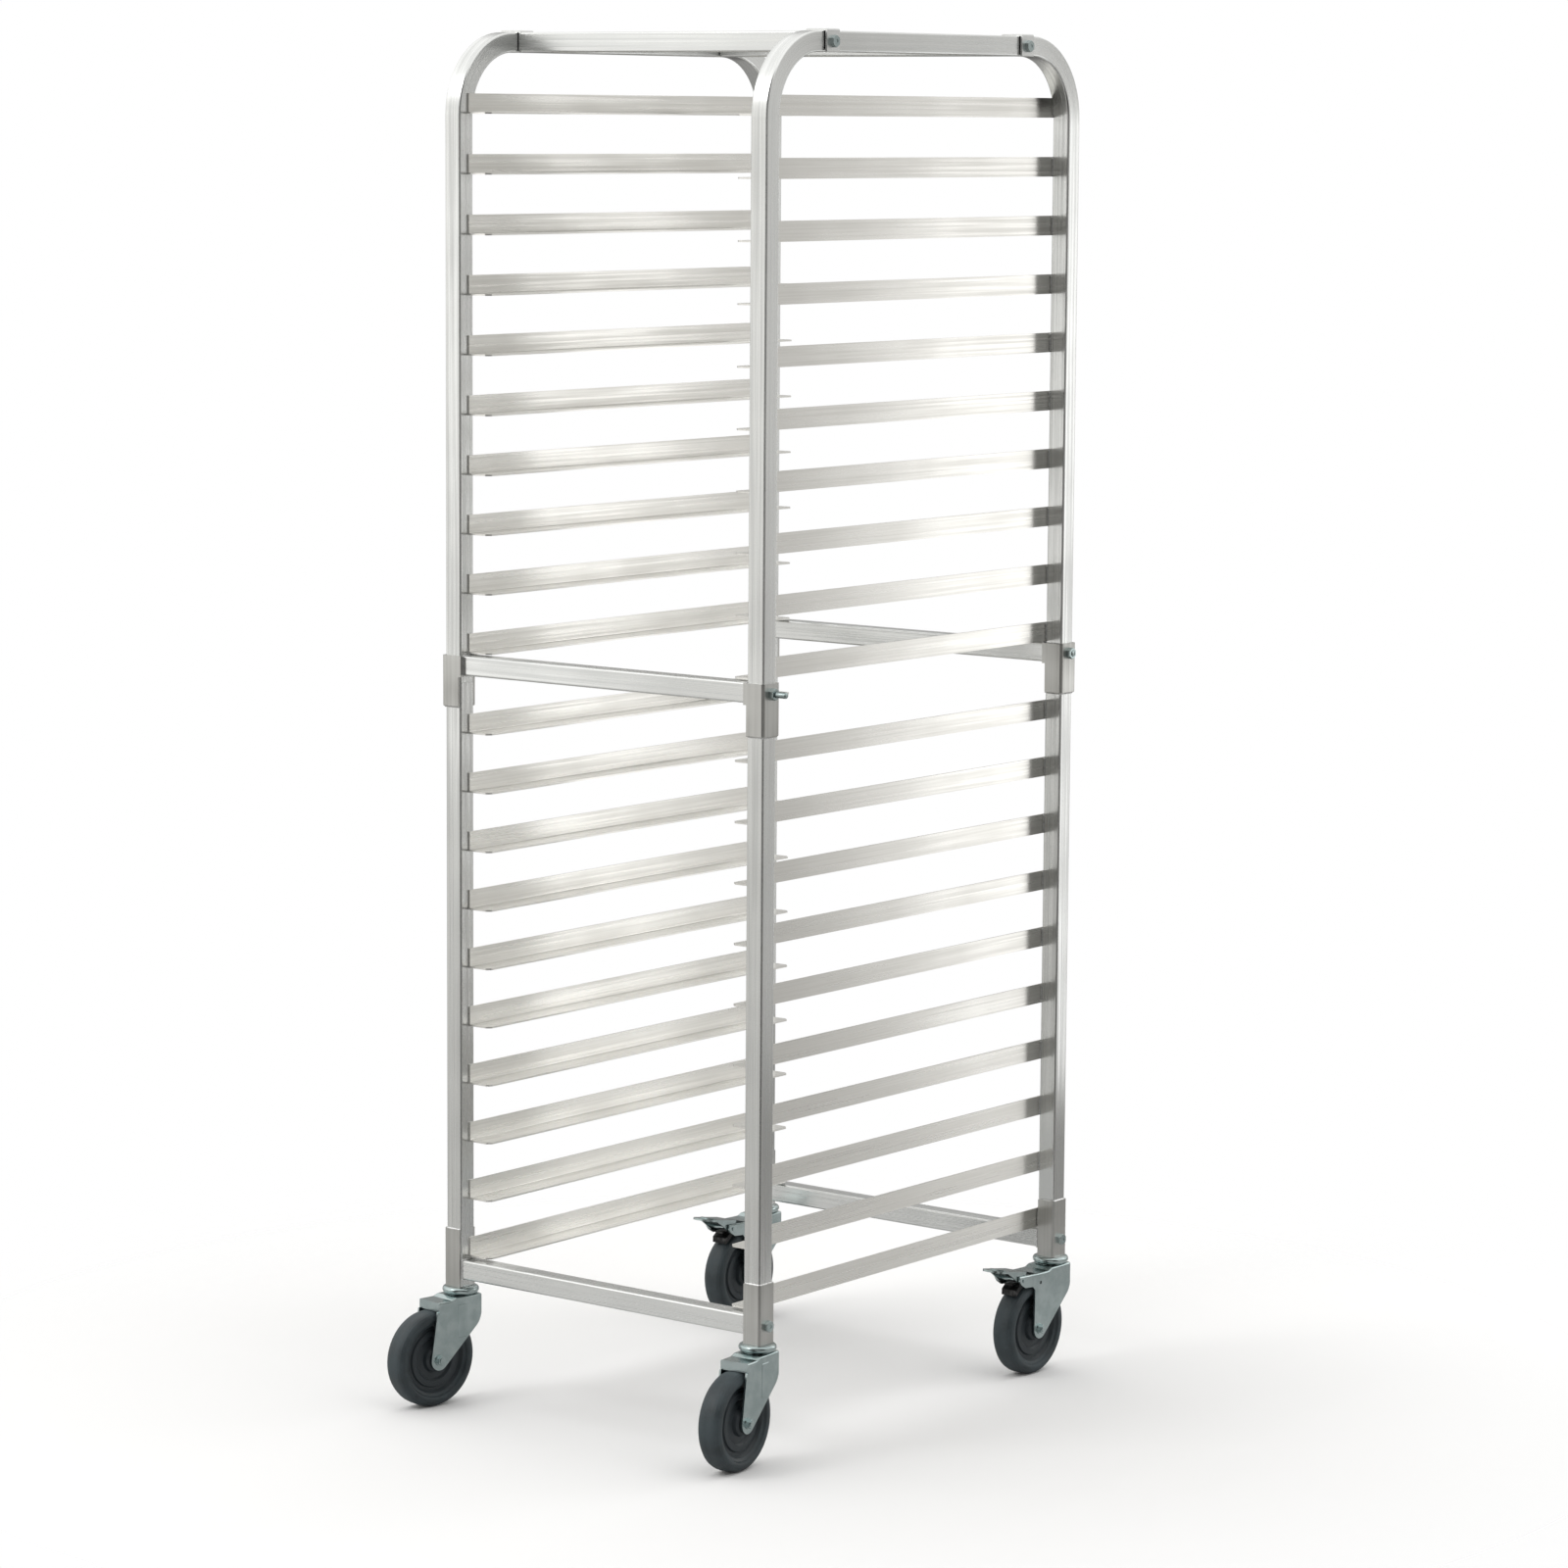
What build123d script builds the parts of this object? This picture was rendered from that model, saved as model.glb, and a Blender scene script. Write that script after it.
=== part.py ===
"""Roll-in sheet pan rack: two bent side hoops on four lower posts, twenty angle slides and four stem casters.

Frame: +Z up, floor at Z = 0, origin on the floor under the centre of the four posts.
X runs across the rack, Y along the slides, and the loading end faces -Y.
"""
from build123d import *
import os
from math import acos, asin, cos, degrees, hypot, radians, sin, sqrt

# ---- overall sizes, mm ----
RACK_WIDTH = 517.0
RACK_DEPTH = 660.0
RACK_HEIGHT = 1767.0

# ---- square tube of the frame ----
TUBE = 25.4
TUBE_WALL = 1.6
TUBE_CORNER = 2.4
BEND_RADIUS = 92.0

# ---- slides ----
TIER_PITCH = 76.0
UPPER_TIERS = 10
LOWER_TIERS = 10
TOP_SLIDE_DROP = 80.2
LOW_TIER_RISE = 28.1
SLIDE_FLANGE = 25.4
SLIDE_LEDGE = 35.0
SLIDE_THICKNESS = 2.0
SLIDE_INSET = 15.0
LEDGE_CORNER = 6.0
SLIDE_ROOT_RADIUS = 1.5

# ---- clips that hold the top cross bars on the hoops ----
CLIP_THICKNESS = 2.5
CLIP_STANDOFF = 1.2
CLIP_PITCH = 410.0
CLIP_WIDTH = 25.4

# ---- sleeves that join the posts ----
SLEEVE_FIT = 0.1
MID_SLEEVE_HEIGHT = 66.0
MID_SLEEVE_DROP = 28.9
MID_SLEEVE_OUTER = 3.0
MID_SLEEVE_FACE = 3.8
MID_PLATE_HEIGHT = 27.0
MID_PLATE_THICKNESS = 3.0
SEAM_RISE = 31.0
SEAM_GAP = 0.2
LOW_SLEEVE_HEIGHT = 76.4
LOW_SLEEVE_WALL = 2.2
SLEEVE_LIP = 1.5
SLEEVE_CHAMFER = 1.2

# ---- cross bars between the two side frames ----
MID_BAR_SETBACK = 1.6
LOW_BAR_RISE = 36.3
LOW_BAR_SETBACK = 1.2

# ---- M8 hexagon bolts ----
BOLT_RADIUS = 4.0
BOLT_HOLE_CLEARANCE = 0.3
HEX_FLATS = 13.0
HEAD_HEIGHT = 5.3
NUT_HEIGHT = 6.8
MID_BOLT_RISE = 53.0
LOW_BOLT_RISE = 23.4
MID_TAIL = 1.0
MID_TAIL_LONG = 16.0
HEAD_DIMPLE_RADIUS = 2.6
HEAD_DIMPLE_DEPTH = 0.6

# ---- casters ----
WHEEL_DIAMETER = 125.0
TREAD_WIDTH = 32.0
CASTER_TRAIL = 51.0
FRONT_LEFT_SWIVEL = -9.5
FRONT_RIGHT_SWIVEL = 5.0
STEM_RADIUS = 10.0
STEM_LENGTH = 60.0
CUP_RADIUS = 23.8
CUP_HEIGHT = 8.6
CUP_EDGE_SHARE = 0.46
CUP_STANDOFF = 1.6
KINGPIN_RADIUS = 5.0
RUNNING_CLEARANCE = 0.08
BODY_GAP = 0.4
FORK_SHEET = 2.5
FORK_INNER_WIDTH = 36.0
FORK_CLEARANCE = 12.6
FORK_BEND = 2.2
FORK_CORNER = 4.5
FORK_KNEE_RADIUS = 22.0
CROWN_RISE = 3.0
CROWN_STEP = (23.0, 31.0)
CROWN_RING_RADIUS = 18.0
CROWN_RING_HEIGHT = 1.0
LEG_RIB = (6.0, 21.0)
LEG_RIB_DROP = (6.5, 50.0)
LEG_RIB_HEIGHT = 0.7
CHEEK_HOLE_RADIUS = 2.2
CHEEK_HOLE_DROP = 12.5
AXLE_RADIUS = 4.0
AXLE_END_RADIUS = 13.5
TYRE_THICKNESS = 17.5
HUB_RADIUS = 16.5
CORE_STEPS = ((0.37, 9.2), (0.46, 6.4), (0.70, 6.8), (0.75, 9.0), (0.90, 9.0))
SPACER_RADIUS = 7.0
AXLE_WASHER_RADIUS = 7.4
AXLE_WASHER_THICKNESS = 1.2
AXLE_HEX_FLATS = 11.0
AXLE_NUT_HEIGHT = 4.0

# ---- wheel brake, on the two rear casters ----
PEDAL_PIN_TRAIL = 90.0
PEDAL_PIN_DROP = 3.6
SHOE_PIN_TRAIL = 67.0
SHOE_PIN_DROP = 6.6
BRAKE_PIN_RADIUS = 2.5
SHOE_GAP = 3.8
SHOE_THICKNESS = 6.0
SHOE_ARM_DEPTH = 9.0
SHOE_REACH = 44.0
SHOE_PIN_SKIN = 0.8
PEDAL_RISE = 10.0

# ---- derived positions ----
POST_X = RACK_WIDTH / 2 - TUBE / 2
POST_Y = RACK_DEPTH / 2 - TUBE / 2
INNER_X = RACK_WIDTH / 2 - TUBE
RAIL_TOP = RACK_HEIGHT - CLIP_THICKNESS
RAIL_CENTRE = RAIL_TOP - TUBE / 2
CLIP_Y = CLIP_PITCH / 2
BAR_HALF = INNER_X - CLIP_STANDOFF - CLIP_THICKNESS
WHEEL_RADIUS = WHEEL_DIAMETER / 2
CORE_RADIUS = WHEEL_RADIUS - TYRE_THICKNESS
LEG_OUTER = FORK_INNER_WIDTH / 2 + FORK_SHEET
FORK_TOP = WHEEL_DIAMETER + FORK_CLEARANCE
PEDAL_PIN_HEIGHT = FORK_TOP - PEDAL_PIN_DROP
SHOE_PIN_HEIGHT = FORK_TOP - SHOE_PIN_DROP
CROWN_TOP = FORK_TOP + CROWN_RISE
LOW_SLEEVE_BOTTOM = CROWN_TOP + CUP_STANDOFF + CUP_HEIGHT + SEAM_GAP
LOW_SLEEVE_TOP = LOW_SLEEVE_BOTTOM + LOW_SLEEVE_HEIGHT
LOW_BAR_TOP = LOW_SLEEVE_BOTTOM + LOW_BAR_RISE
LOW_BOLT_HEIGHT = LOW_SLEEVE_BOTTOM + LOW_BOLT_RISE
LAST_UPPER_TOP = RACK_HEIGHT - TOP_SLIDE_DROP - (UPPER_TIERS - 1) * TIER_PITCH
FIRST_LOWER_TOP = LOW_BAR_TOP + LOW_TIER_RISE + (LOWER_TIERS - 1) * TIER_PITCH
MID_SLEEVE_BOTTOM = (LAST_UPPER_TOP - SLIDE_FLANGE + FIRST_LOWER_TOP) / 2 - MID_SLEEVE_DROP
MID_SLEEVE_TOP = MID_SLEEVE_BOTTOM + MID_SLEEVE_HEIGHT
MID_BOLT_HEIGHT = MID_SLEEVE_BOTTOM + MID_BOLT_RISE
POST_SEAM = MID_SLEEVE_BOTTOM + SEAM_RISE
SIDES = {"left": -1, "right": 1}
ENDS = {"front": -1, "rear": 1}
CORNERS = [(side, end) for end in ENDS for side in SIDES]


def box(x, y, z):
    """A box from three (low, high) pairs."""
    low, high = zip(x, y, z)
    size = [h - l for l, h in zip(low, high)]
    return Pos(*low) * Box(*size, align=(Align.MIN,) * 3)


def rod(radius, x, y, z, length, direction=Axis.Z):
    """A cylinder that starts at a point and runs along an axis direction."""
    plane = Plane(origin=(x, y, z), z_dir=direction.direction)
    return extrude(plane * Circle(radius), length)


def prism(plane, face, length):
    """A flat outline placed on a plane and pulled out along the plane's normal."""
    return extrude(plane * face, length, dir=plane.z_dir)


def tube_section(wall=TUBE_WALL):
    """The hollow square section of the frame tube."""
    outer = RectangleRounded(TUBE, TUBE, TUBE_CORNER)
    inner = TUBE - 2 * wall
    return outer - RectangleRounded(inner, inner, max(TUBE_CORNER - wall, 0.4))


def straight_tube(plane, length):
    """A straight length of frame tube along the plane's normal."""
    return extrude(plane * tube_section(), length)


def write(name, *pieces):
    """Write one node, made of one or more separate solids."""
    solids = [s for piece in pieces for s in piece.solids()]
    shape = solids[0] if len(solids) == 1 else Compound(children=solids)
    export_step(shape, f"parts/{name}.step")


# ---------------------------------------------------------------- frame
def cross_hole(x, y, z, reach=TUBE):
    """The clearance hole of a bolt that runs across the rack."""
    radius = BOLT_RADIUS + BOLT_HOLE_CLEARANCE
    return rod(radius, x - reach, y, z, 2 * reach, Axis.X)


def hoop(side):
    """The upper half of a side: one tube bent into an inverted U, open at both feet."""
    x = SIDES[side] * POST_X
    foot = POST_SEAM + SEAM_GAP / 2
    path = FilletPolyline(
        (x, -POST_Y, foot), (x, -POST_Y, RAIL_CENTRE), (x, POST_Y, RAIL_CENTRE), (x, POST_Y, foot),
        radius=BEND_RADIUS,
    )
    tube = sweep(Plane(origin=(x, -POST_Y, foot), z_dir=(0, 0, 1)) * tube_section(), path)
    for end in ENDS.values():
        tube -= cross_hole(x, end * CLIP_Y, RAIL_CENTRE)
        tube -= cross_hole(x, end * POST_Y, MID_BOLT_HEIGHT)
    return tube


def lower_post(side, end):
    """A lower post, with the hole of the bolt that holds the caster's stem."""
    x, y = SIDES[side] * POST_X, ENDS[end] * POST_Y
    bottom = LOW_SLEEVE_BOTTOM + SEAM_GAP
    top = POST_SEAM - SEAM_GAP / 2
    post = straight_tube(Plane(origin=(x, y, bottom)), top - bottom)
    return post - cross_hole(x + SIDES[side] * TUBE, y, LOW_BOLT_HEIGHT)


def top_bar(end):
    """A top cross bar between the inner legs of two clips."""
    plane = Plane(origin=(-BAR_HALF, ENDS[end] * CLIP_Y, RAIL_CENTRE), x_dir=(0, 1, 0), z_dir=(1, 0, 0))
    return straight_tube(plane, 2 * BAR_HALF)


def clip(side, end):
    """A saddle bent over the top rail, with a hole through both legs."""
    x, y = SIDES[side] * POST_X, ENDS[end] * CLIP_Y
    half_in = TUBE / 2 + CLIP_STANDOFF
    half_out = half_in + CLIP_THICKNESS
    across = (y - CLIP_WIDTH / 2, y + CLIP_WIDTH / 2)
    bottom = RAIL_TOP - TUBE
    block = box((x - half_out, x + half_out), across, (bottom, RACK_HEIGHT))
    ridges = block.edges().filter_by(Axis.Y).group_by(Axis.Z)[-1]
    block = fillet(ridges, CLIP_THICKNESS)
    slot = box((x - half_in, x + half_in), (across[0] - 1, across[1] + 1), (bottom - 1, RAIL_TOP))
    return block - slot - cross_hole(x, y, RAIL_CENTRE)


def wrap(side, end, z, outer, face):
    """A channel round three sides of a post, open towards the inside of the rack."""
    sx = SIDES[side]
    y = ENDS[end] * POST_Y
    lip = INNER_X + SLEEVE_LIP
    reach = RACK_WIDTH / 2 + outer
    half = TUBE / 2 + face
    block = box(sorted((sx * lip, sx * reach)), (y - half, y + half), z)
    corners = block.edges().filter_by(Axis.Z).sort_by(Axis.X)
    block = fillet(corners[-2:] if sx > 0 else corners[:2], TUBE_CORNER + outer / 2)
    keep = box(
        sorted((sx * (lip - 1), sx * (RACK_WIDTH / 2 + SLEEVE_FIT))),
        (y - TUBE / 2 - SLEEVE_FIT, y + TUBE / 2 + SLEEVE_FIT),
        (z[0] - 1, z[1] + 1),
    )
    return block - keep


def mid_sleeve(side, end):
    """The socket at mid height: a channel with a plate closing its upper half on the inside."""
    sx = SIDES[side]
    y = ENDS[end] * POST_Y
    span = (MID_SLEEVE_BOTTOM, MID_SLEEVE_TOP)
    body = wrap(side, end, span, MID_SLEEVE_OUTER, MID_SLEEVE_FACE)
    foot = body.faces().sort_by(Axis.Z)[0].outer_wire().edges()
    body = chamfer(foot.filter_by(Axis.X), SLEEVE_CHAMFER)
    half = TUBE / 2 + MID_SLEEVE_FACE
    plate = box(
        sorted((sx * (INNER_X - SLEEVE_FIT - MID_PLATE_THICKNESS), sx * (INNER_X - SLEEVE_FIT))),
        (y - half, y + half),
        (MID_SLEEVE_TOP - MID_PLATE_HEIGHT, MID_SLEEVE_TOP),
    )
    tabs = [
        box(
            sorted((sx * (INNER_X - SLEEVE_FIT), sx * (INNER_X + SLEEVE_LIP))),
            sorted((y + e * (TUBE / 2 + SLEEVE_FIT), y + e * half)),
            (MID_SLEEVE_TOP - MID_PLATE_HEIGHT, MID_SLEEVE_TOP),
        )
        for e in (-1, 1)
    ]
    return body + plate + tabs - cross_hole(sx * POST_X, y, MID_BOLT_HEIGHT)


def low_sleeve(side, end):
    """The socket at the foot of a post, where the caster's stem is bolted in."""
    sx = SIDES[side]
    span = (LOW_SLEEVE_BOTTOM, LOW_SLEEVE_TOP)
    body = wrap(side, end, span, LOW_SLEEVE_WALL, LOW_SLEEVE_WALL)
    return body - cross_hole(sx * (POST_X + TUBE), ENDS[end] * POST_Y, LOW_BOLT_HEIGHT)


def end_bar(end, top, setback, stop):
    """A cross bar between two posts or sleeves, set back from the rack's end face."""
    y = ENDS[end] * (RACK_DEPTH / 2 - setback - TUBE / 2)
    plane = Plane(origin=(-stop, y, top - TUBE / 2), x_dir=(0, 1, 0), z_dir=(1, 0, 0))
    return straight_tube(plane, 2 * stop)


def mid_bar(end):
    """The cross bar welded to the plates of the mid sleeves."""
    stop = INNER_X - SLEEVE_FIT - MID_PLATE_THICKNESS
    return end_bar(end, MID_SLEEVE_TOP, MID_BAR_SETBACK, stop)


def low_bar(end):
    """The cross bar welded between the feet of two posts."""
    return end_bar(end, LOW_BAR_TOP, LOW_BAR_SETBACK, INNER_X)


# ---------------------------------------------------------------- slides
def tier_tops():
    """Heights of the slides' upper edges, from the top tier down."""
    upper = [LAST_UPPER_TOP + i * TIER_PITCH for i in reversed(range(UPPER_TIERS))]
    lower = [FIRST_LOWER_TOP - i * TIER_PITCH for i in range(LOWER_TIERS)]
    return upper + lower


def slide(side, top):
    """An angle whose upright flange lies on the posts and whose ledge carries a pan."""
    sx = SIDES[side]
    half = RACK_DEPTH / 2 - SLIDE_INSET
    outline = Polyline(
        (0, 0), (0, SLIDE_FLANGE), (-SLIDE_THICKNESS, SLIDE_FLANGE), (-SLIDE_THICKNESS, SLIDE_THICKNESS),
        (-SLIDE_LEDGE, SLIDE_THICKNESS), (-SLIDE_LEDGE, 0), close=True,
    )
    section = make_face(outline)
    root = section.vertices().sort_by_distance((-SLIDE_THICKNESS, SLIDE_THICKNESS))[0]
    section = fillet(root, SLIDE_ROOT_RADIUS)
    plane = Plane(origin=(INNER_X, half, top - SLIDE_FLANGE), x_dir=(1, 0, 0), z_dir=(0, -1, 0))
    angle = prism(plane, section, 2 * half)
    tips = angle.edges().filter_by(Axis.Z).group_by(Axis.X)[0]
    angle = chamfer(tips, LEDGE_CORNER)
    return angle if sx > 0 else mirror(angle, Plane.YZ)


# ---------------------------------------------------------------- fasteners
def hexagon(x, y, z, height, sx, flats=HEX_FLATS):
    """A hexagon along X with its outer corners rounded off, from x outwards."""
    plane = Plane(origin=(x, y, z), z_dir=(sx, 0, 0))
    corner = flats / sqrt(3)
    block = extrude(plane * RegularPolygon(corner, 6), height)
    dome = extrude(plane * Circle(corner), height)
    rim = dome.edges().sort_by(Axis.X)[-1 if sx > 0 else 0]
    return block & chamfer(rim, (corner - flats / 2) * 0.6)


def bolt(x, y, z, sx, shank):
    """A hexagon bolt whose head bears on a face at x and whose shank runs inwards."""
    head = hexagon(x, y, z, HEAD_HEIGHT, sx)
    dimple_x = x + sx * (HEAD_HEIGHT - HEAD_DIMPLE_DEPTH)
    head -= extrude(Plane(origin=(dimple_x, y, z), z_dir=(sx, 0, 0)) * Circle(HEAD_DIMPLE_RADIUS), HEAD_HEIGHT)
    return head + extrude(Plane(origin=(x, y, z), z_dir=(-sx, 0, 0)) * Circle(BOLT_RADIUS), shank)


def top_bolt(side, end):
    """The bolt that ties a clip to the top rail."""
    sx = SIDES[side]
    face = RACK_WIDTH / 2 + CLIP_STANDOFF + CLIP_THICKNESS
    return bolt(sx * face, ENDS[end] * CLIP_Y, RAIL_CENTRE, sx, TUBE + 2 * CLIP_STANDOFF + 2 * CLIP_THICKNESS)


def low_bolt(side, end):
    """The bolt that clamps a caster's stem in the foot of a post."""
    sx = SIDES[side]
    face = RACK_WIDTH / 2 + LOW_SLEEVE_WALL
    shank = face - POST_X - STEM_RADIUS - BODY_GAP
    return bolt(sx * face, ENDS[end] * POST_Y, LOW_BOLT_HEIGHT, sx, shank)


def mid_tail(side, end):
    """How far a mid bolt sticks out of its nut: one of the four is longer than the rest."""
    return MID_TAIL_LONG if (side, end) == ("right", "front") else MID_TAIL


def mid_bolt(side, end):
    """A bolt from inside the cross bar outwards, ending in a threaded tail."""
    sx = SIDES[side]
    inner = INNER_X - SLEEVE_FIT - MID_PLATE_THICKNESS
    outer = RACK_WIDTH / 2 + MID_SLEEVE_OUTER + NUT_HEIGHT + mid_tail(side, end)
    return bolt(sx * inner, ENDS[end] * POST_Y, MID_BOLT_HEIGHT, -sx, outer - inner)


def mid_nut(side, end):
    """The nut on a mid bolt, on the outer face of its sleeve."""
    sx = SIDES[side]
    face = RACK_WIDTH / 2 + MID_SLEEVE_OUTER
    y = ENDS[end] * POST_Y
    nut = hexagon(sx * face, y, MID_BOLT_HEIGHT, NUT_HEIGHT, sx)
    bore = extrude(
        Plane(origin=(sx * (face - 1), y, MID_BOLT_HEIGHT), z_dir=(sx, 0, 0)) * Circle(BOLT_RADIUS + SLEEVE_FIT),
        NUT_HEIGHT + 2,
    )
    return nut - bore


# ---------------------------------------------------------------- casters
# Each caster is drawn with its stem on the Z axis, its axle along X and its wheel trailing to -Y.
def caster_stem():
    """Stem, domed bearing cup and king pin, all fixed to the rack."""
    top = LOW_SLEEVE_BOTTOM - SEAM_GAP
    low = top - CUP_HEIGHT
    crown_under = CROWN_TOP - FORK_SHEET
    rim = [(CUP_RADIUS, top), (CUP_RADIUS, low)]
    profile = make_face(Polyline(
        (0, top), *rim, (KINGPIN_RADIUS, low), (KINGPIN_RADIUS, crown_under - BODY_GAP),
        (KINGPIN_RADIUS * 1.7, crown_under - BODY_GAP), (KINGPIN_RADIUS * 1.3, crown_under - BODY_GAP - 2.4),
        (0, crown_under - BODY_GAP - 2.4), close=True,
    ))
    edges = [profile.vertices().sort_by_distance(point)[0] for point in rim]
    cup = revolve(Plane.XZ * fillet(edges, CUP_HEIGHT * CUP_EDGE_SHARE), Axis.Z)
    stem = rod(STEM_RADIUS, 0, 0, top - 1, STEM_LENGTH + 1)
    stem = chamfer(stem.edges().sort_by(Axis.Z)[-1], 2)
    return cup + stem


def tangent_point(centre, radius, outside, turn):
    """Where a line from an outside point touches a circle, on the side given by the sign of turn."""
    dx, dy = outside[0] - centre[0], outside[1] - centre[1]
    distance = hypot(dx, dy)
    half = turn * acos(radius / distance)
    ux, uy = dx / distance, dy / distance
    return (
        centre[0] + radius * (ux * cos(half) - uy * sin(half)),
        centre[1] + radius * (ux * sin(half) + uy * cos(half)),
    )


def fork_side(front_points):
    """Side view of a fork in (trail, height), with a raised crown, closed round the axle's boss."""
    axle = (CASTER_TRAIL, WHEEL_RADIUS)
    back = [(-LEG_OUTER, CROWN_TOP), (-LEG_OUTER, FORK_TOP - 19), (-LEG_OUTER + 7, FORK_TOP - 35)]
    crown = [(CROWN_STEP[0], CROWN_TOP), (CROWN_STEP[1], FORK_TOP)]
    touch_back = tangent_point(axle, AXLE_END_RADIUS, back[-1], 1)
    touch_front = tangent_point(axle, AXLE_END_RADIUS, front_points[-1], -1)
    nose = (axle[0] + AXLE_END_RADIUS * sin(radians(12)), axle[1] - AXLE_END_RADIUS * cos(radians(12)))
    back = back[::-1]
    lines = Polyline(touch_back, *back, *crown, *front_points, touch_front)
    end = ThreePointArc(touch_front, nose, touch_back)
    side = make_face([lines, end])
    knees = [side.vertices().sort_by_distance(point)[0] for point in back[:2]]
    side = fillet(knees, FORK_KNEE_RADIUS)
    steps = [side.vertices().sort_by_distance(point)[0] for point in crown]
    return fillet(steps, FORK_BEND * 2)


def trail_plane(x):
    """A side view's plane, with trail to the right and height up, looking along -X."""
    return Plane(origin=(x, 0, 0), x_dir=(0, -1, 0), z_dir=(-1, 0, 0))


def fork_shell(side_face, plan_face, inner_plan, inner_top):
    """The pressed hood: side view and plan crossed, its top edges rounded, then hollowed from below."""
    slab = prism(trail_plane(LEG_OUTER + 1), side_face, 2 * LEG_OUTER + 2)
    column = prism(Plane.XY, plan_face, FORK_TOP + 20)
    hood = slab & column
    top = [f for f in hood.faces() if f.normal_at().Z > 0.6]
    shared = [e for f in top for e in f.edges()]
    rims = [e for e in shared if sum(e.is_same(other) for other in shared) == 1]
    rims = [e for e in rims if e.geom_type != GeomType.LINE or abs(e.tangent_at(0.5).X) < 0.5]
    hood = fillet(rims, FORK_BEND)
    crown_hollow = prism(Plane.XY, inner_plan, inner_top + CROWN_RISE) & rod(
        FORK_INNER_WIDTH / 2, 0, 0, 0, inner_top + CROWN_RISE
    )
    return hood - prism(Plane.XY, inner_plan, inner_top) - crown_hollow


def plan(half, corner, front):
    """Plan of a fork: straight sides from the front to two rounded corners behind the stem."""
    straight = Pos(0, -front / 2) * Rectangle(2 * half, front)
    return straight + RectangleRounded(2 * half, 2 * half, corner)


def crown_ring():
    """The raised ring round the king pin and the race that faces the cup."""
    low = CROWN_TOP - 0.5
    ring = rod(CROWN_RING_RADIUS, 0, 0, low, CROWN_RING_HEIGHT + 0.5)
    ring = chamfer(ring.edges().sort_by(Axis.Z)[-1], CROWN_RING_HEIGHT * 0.8)
    race_top = LOW_SLEEVE_BOTTOM - SEAM_GAP - CUP_HEIGHT - BODY_GAP
    return ring + rod(CROWN_RING_RADIUS - 3, 0, 0, low, race_top - low)


def fork_holes():
    """The king pin's and the axle's holes."""
    kingpin = rod(KINGPIN_RADIUS + RUNNING_CLEARANCE, 0, 0, FORK_TOP - 20, 40)
    axle = rod(AXLE_RADIUS + SLEEVE_FIT, -LEG_OUTER - 1, -CASTER_TRAIL, WHEEL_RADIUS, 2 * LEG_OUTER + 2, Axis.X)
    return kingpin + axle


def plain_fork():
    """The fork of a caster without a brake, with a short lip across its front."""
    lip = CASTER_TRAIL + 1
    front = [(lip, FORK_TOP), (lip, FORK_TOP - 11.5), (lip + 2.5, FORK_TOP - 11.5)]
    outer = plan(LEG_OUTER, FORK_CORNER, CASTER_TRAIL + AXLE_END_RADIUS + 2)
    inner_half = FORK_INNER_WIDTH / 2
    inner = plan(inner_half, FORK_CORNER - FORK_SHEET, CASTER_TRAIL + 30)
    shell = fork_shell(fork_side(front), outer, inner, FORK_TOP - FORK_SHEET)
    web = box((-inner_half - 0.5, inner_half + 0.5), (-lip, -lip + FORK_SHEET), (FORK_TOP - 12, FORK_TOP - 1))
    across = (-LEG_RIB[1], -LEG_RIB[0])
    rib = box((LEG_OUTER - 0.5, LEG_OUTER + LEG_RIB_HEIGHT), across, [FORK_TOP - d for d in reversed(LEG_RIB_DROP)])
    rib = chamfer(rib.faces().sort_by(Axis.X)[-1].edges(), LEG_RIB_HEIGHT * 0.85)
    ribs = rib + mirror(rib, Plane.YZ)
    return shell + web + ribs + crown_ring() - fork_holes()


def brake_fork():
    """The fork of a braked caster, whose two cheeks run forward to carry the pedal."""
    front = [
        (36, FORK_TOP), (58, FORK_TOP + 0.8), (98.5, FORK_TOP + 3.2), (99.5, FORK_TOP - 3), (95.5, FORK_TOP - 8.5),
        (86.5, FORK_TOP - 14), (69, FORK_TOP - 15.5), (63.5, FORK_TOP - 21),
    ]
    outer = plan(LEG_OUTER, FORK_CORNER, 101)
    inner_half = FORK_INNER_WIDTH / 2
    inner = plan(inner_half, FORK_CORNER - FORK_SHEET, 104)
    shell = fork_shell(fork_side(front), outer, inner, FORK_TOP - FORK_SHEET)
    open_top = box((-inner_half, inner_half), (-104, -59), (FORK_TOP - 30, FORK_TOP + 10))
    fork = shell - open_top + crown_ring() - fork_holes()
    pins = ((PEDAL_PIN_TRAIL, PEDAL_PIN_HEIGHT, LEG_OUTER + 1), (SHOE_PIN_TRAIL, SHOE_PIN_HEIGHT, LEG_OUTER - SHOE_PIN_SKIN))
    for trail, height, half in pins:
        fork -= rod(BRAKE_PIN_RADIUS + RUNNING_CLEARANCE, -half, -trail, height, 2 * half, Axis.X)
    hole_height = FORK_TOP - CHEEK_HOLE_DROP
    return fork - rod(CHEEK_HOLE_RADIUS, -LEG_OUTER - 1, -CASTER_TRAIL, hole_height, 2 * LEG_OUTER + 2, Axis.X)


def ring_of(points):
    """A solid of revolution round the axle from (radius, half width) points of one side."""
    upper = [(r, w) for r, w in points]
    lower = [(r, -w) for r, w in reversed(points)]
    face = make_face(Polyline(*upper, *lower, close=True))
    plane = Plane(origin=(0, -CASTER_TRAIL, WHEEL_RADIUS), x_dir=(0, 0, 1), z_dir=(0, 1, 0))
    axis = Axis((0, -CASTER_TRAIL, WHEEL_RADIUS), (1, 0, 0))
    return revolve(plane * face, axis)


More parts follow.
